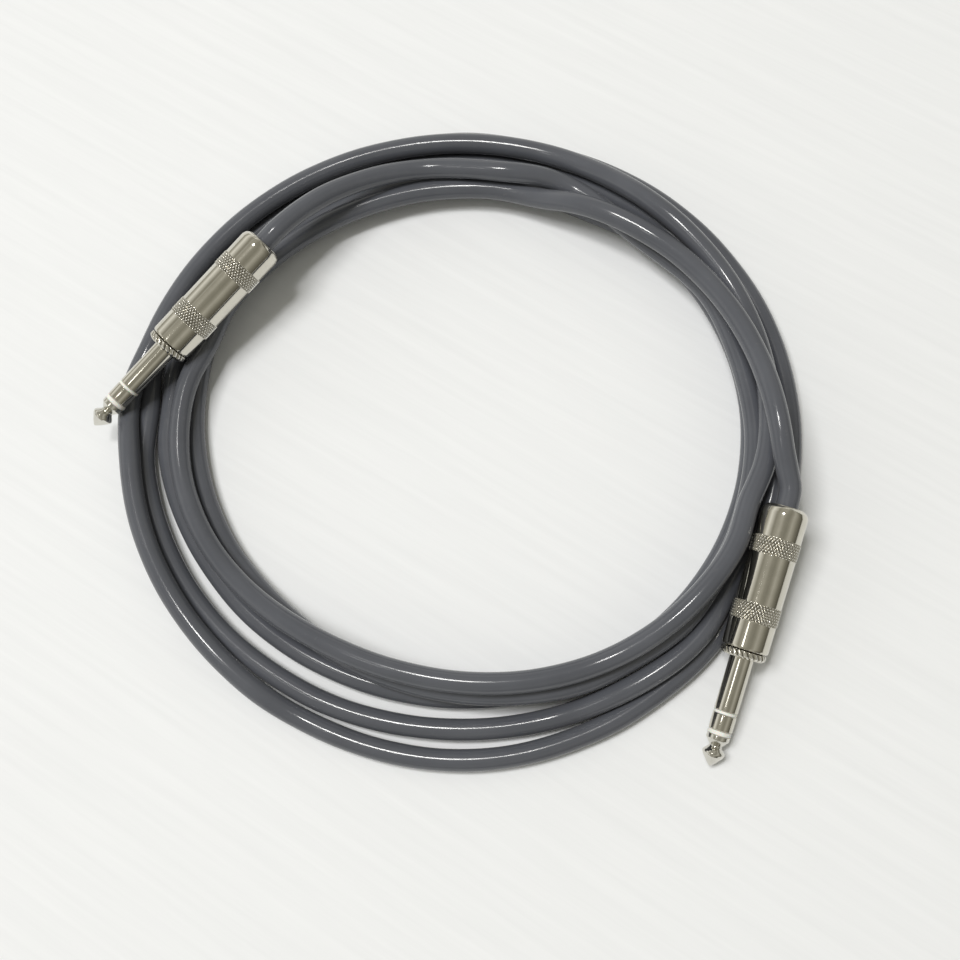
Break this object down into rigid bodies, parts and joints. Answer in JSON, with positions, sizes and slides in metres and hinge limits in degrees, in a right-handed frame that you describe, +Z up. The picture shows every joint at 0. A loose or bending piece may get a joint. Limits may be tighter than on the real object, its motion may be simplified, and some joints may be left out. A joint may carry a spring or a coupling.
{
  "type": "instrument cable",
  "caption": "Coiled two-conductor shielded instrument cable with a three-contact straight phone plug, knurled screw-on barrel and serrated collar at each end.",
  "frame": {"origin": "centre of the footprint, on the table under the coil", "axes": "+Z up from the table, +X to the right and +Y away from the viewer, with the left plug at -X and the right plug at +X"},
  "size_m": [0.199, 0.1889, 0.0276],
  "materials": {
    "cable_jacket": "satin grey flexible PVC",
    "cable_shield": "braided bare copper",
    "wire_red": "smooth wire insulation",
    "wire_white": "smooth wire insulation",
    "copper": "stranded copper",
    "insulator": "smooth white plastic",
    "fibre": "matt vulcanised fibre",
    "liner": "thin plastic tube",
    "tinned_metal": "tinned stamped metal",
    "nickel": "polished nickel plate"
  },
  "bodies": {
    "coil": {"coil_conductor_red": "wire_red", "coil_conductor_white": "wire_white", "coil_jacket": "cable_jacket", "coil_shield": "cable_shield"},
    "right_link": {"right_link_conductor_red": "wire_red", "right_link_conductor_white": "wire_white", "right_link_jacket": "cable_jacket", "right_link_shield": "cable_shield"},
    "right_plug": {"right_copper_red": "copper", "right_copper_white": "copper", "right_end_conductor_red": "wire_red", "right_end_conductor_white": "wire_white", "right_end_jacket": "cable_jacket", "right_end_shield": "cable_shield", "right_ground_clamp": "tinned_metal", "right_insulator_ring": "insulator", "right_insulator_tip": "insulator", "right_ring_contact": "nickel", "right_ring_lug": "tinned_metal", "right_sleeve_body": "nickel", "right_tip_contact": "nickel", "right_tip_lug": "tinned_metal", "right_washer_front": "fibre", "right_washer_rear": "fibre"},
    "right_liner": {"right_liner_tube": "liner"},
    "right_barrel_shell": {"right_barrel": "nickel"},
    "left_plug": {"left_copper_red": "copper", "left_copper_white": "copper", "left_end_conductor_red": "wire_red", "left_end_conductor_white": "wire_white", "left_end_jacket": "cable_jacket", "left_end_shield": "cable_shield", "left_ground_clamp": "tinned_metal", "left_insulator_ring": "insulator", "left_insulator_tip": "insulator", "left_ring_contact": "nickel", "left_ring_lug": "tinned_metal", "left_sleeve_body": "nickel", "left_tip_contact": "nickel", "left_tip_lug": "tinned_metal", "left_washer_front": "fibre", "left_washer_rear": "fibre"},
    "left_liner": {"left_liner_tube": "liner"},
    "left_barrel_shell": {"left_barrel": "nickel"}
  },
  "joints": [
    {"name": "right_cable_lift", "type": "hinge", "parent": "coil", "child": "right_link", "pos_m": [0.08737, 0.01614, 0.01938], "axis": [-0.9893, 0.1461, 0], "range_deg": [0, 45]},
    {"name": "right_cable_swing", "type": "hinge", "parent": "right_link", "child": "right_plug", "pos_m": [0.09296, -0.00803, 0.02064], "axis": [0, 0, 1], "range_deg": [0, 35]},
    {"name": "right_barrel_travel", "type": "slide", "parent": "right_plug", "child": "right_liner", "axis": [0.3082, 0.932, 0.1908], "range_m": [0, 0.005]},
    {"name": "right_barrel_unscrew", "type": "hinge", "parent": "right_liner", "child": "right_barrel_shell", "pos_m": [0.08666, -0.04641, 0.01264], "axis": [0.3082, 0.932, 0.1908], "range_deg": [0, 1980]},
    {"name": "left_cable_lift", "type": "hinge", "parent": "coil", "child": "left_plug", "pos_m": [-0.03208, 0.067, 0.01871], "axis": [-0.7056, 0.7086, 0], "range_deg": [0, 40]},
    {"name": "left_barrel_travel", "type": "slide", "parent": "left_plug", "child": "left_liner", "axis": [0.6965, 0.7014, 0.1513], "range_m": [0, 0.005]},
    {"name": "left_barrel_unscrew", "type": "hinge", "parent": "left_liner", "child": "left_barrel_shell", "pos_m": [-0.06334, 0.03627, 0.01866], "axis": [0.6965, 0.7014, 0.1513], "range_deg": [0, 1980]}
  ],
  "couplings": [
    {"joint": "right_barrel_unscrew", "follows": "right_barrel_travel", "rad_per_m": 6911.4},
    {"joint": "left_barrel_unscrew", "follows": "left_barrel_travel", "rad_per_m": 6911.4}
  ]
}
